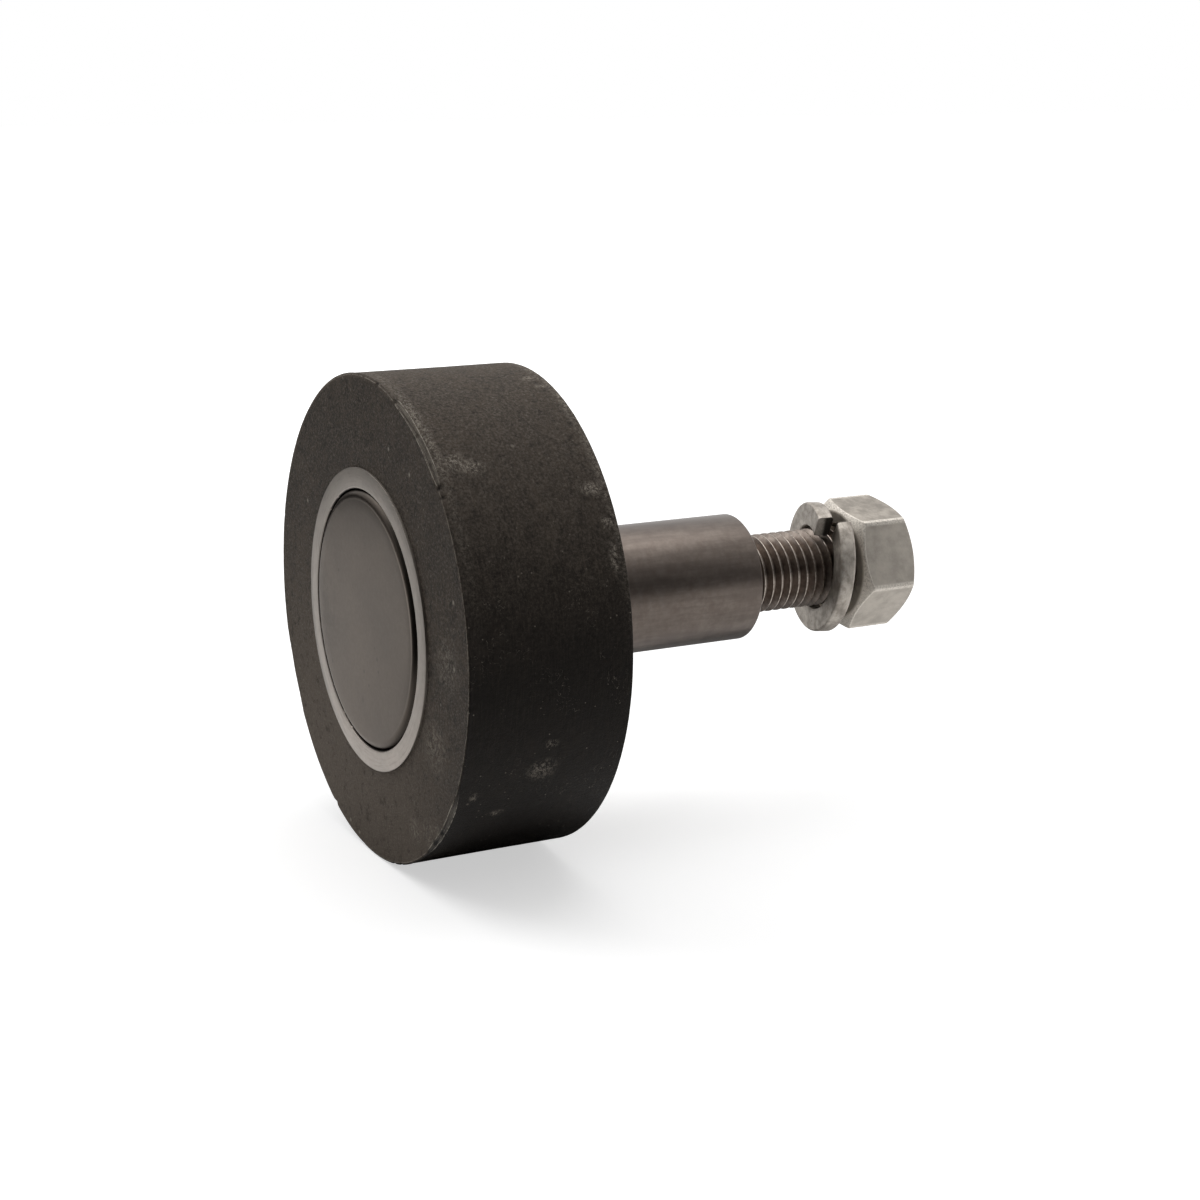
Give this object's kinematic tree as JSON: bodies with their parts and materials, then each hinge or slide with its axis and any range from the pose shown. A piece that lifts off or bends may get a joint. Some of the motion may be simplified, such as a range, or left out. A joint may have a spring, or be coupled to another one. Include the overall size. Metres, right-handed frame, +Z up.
{
  "type": "rubber support roller",
  "caption": "Rubber-tyred support roller that spins on two sealed ball bearings on a turned stub axle, fixed by a threaded stud with lock washer and nut.",
  "frame": {"origin": "centre of the collar's mounting shoulder, on the axle's axis", "axes": "+Y along the axle, from the roller to the stud's end; +Z up"},
  "size_m": [0.116, 0.1484, 0.116],
  "materials": {
    "rubber": "moulded black rubber, dusty and scuffed",
    "machined_steel": "faced bright steel",
    "cap_sheet": "dark phosphated sheet",
    "turned_steel": "fine turned, oiled",
    "zinc_steel": "zinc plated, satin",
    "spring_steel": "blackened spring steel",
    "bearing_steel": "ground and polished",
    "seal_rubber": "smooth black nitrile rubber",
    "cage_polyamide": "moulded polyamide"
  },
  "bodies": {
    "axle": {"stub_axle": "turned_steel", "axle_circlip": "spring_steel", "front_bearing_inner_ring": "bearing_steel", "rear_bearing_inner_ring": "bearing_steel"},
    "roller": {"rubber_tyre": "rubber", "hub_sleeve": "machined_steel", "end_cap": "cap_sheet", "hub_circlip": "spring_steel", "front_bearing_outer_ring": "bearing_steel", "front_bearing_front_seal": "seal_rubber", "front_bearing_rear_seal": "seal_rubber", "rear_bearing_outer_ring": "bearing_steel", "rear_bearing_front_seal": "seal_rubber", "rear_bearing_rear_seal": "seal_rubber"},
    "front_cage": {"front_bearing_cage": "cage_polyamide", "front_bearing_ball_1": "bearing_steel", "front_bearing_ball_2": "bearing_steel", "front_bearing_ball_3": "bearing_steel", "front_bearing_ball_4": "bearing_steel", "front_bearing_ball_5": "bearing_steel", "front_bearing_ball_6": "bearing_steel", "front_bearing_ball_7": "bearing_steel"},
    "rear_cage": {"rear_bearing_cage": "cage_polyamide", "rear_bearing_ball_1": "bearing_steel", "rear_bearing_ball_2": "bearing_steel", "rear_bearing_ball_3": "bearing_steel", "rear_bearing_ball_4": "bearing_steel", "rear_bearing_ball_5": "bearing_steel", "rear_bearing_ball_6": "bearing_steel", "rear_bearing_ball_7": "bearing_steel"},
    "washer": {"lock_washer": "zinc_steel"},
    "nut": {"hex_nut": "zinc_steel"}
  },
  "joints": [
    {"name": "roller_spin", "type": "hinge", "parent": "axle", "child": "roller", "pos_m": [0, -0.0795, 0], "axis": [0, 1, 0], "continuous": true},
    {"name": "front_cage_orbit", "type": "hinge", "parent": "axle", "child": "front_cage", "pos_m": [0, -0.084, 0], "axis": [0, 1, 0], "continuous": true},
    {"name": "rear_cage_orbit", "type": "hinge", "parent": "axle", "child": "rear_cage", "pos_m": [0, -0.067, 0], "axis": [0, 1, 0], "continuous": true},
    {"name": "nut_travel", "type": "slide", "parent": "axle", "child": "washer", "axis": [0, 1, 0], "range_m": [-0.01875, 0.015]},
    {"name": "nut_turn", "type": "hinge", "parent": "washer", "child": "nut", "pos_m": [0, 0.0387, 0], "axis": [0, 1, 0], "range_deg": [-2700, 2160]}
  ],
  "couplings": [
    {"joint": "front_cage_orbit", "follows": "roller_spin", "ratio": 0.63218},
    {"joint": "rear_cage_orbit", "follows": "roller_spin", "ratio": 0.63218},
    {"joint": "nut_travel", "follows": "nut_turn", "m_per_rad": 0.00039789}
  ]
}
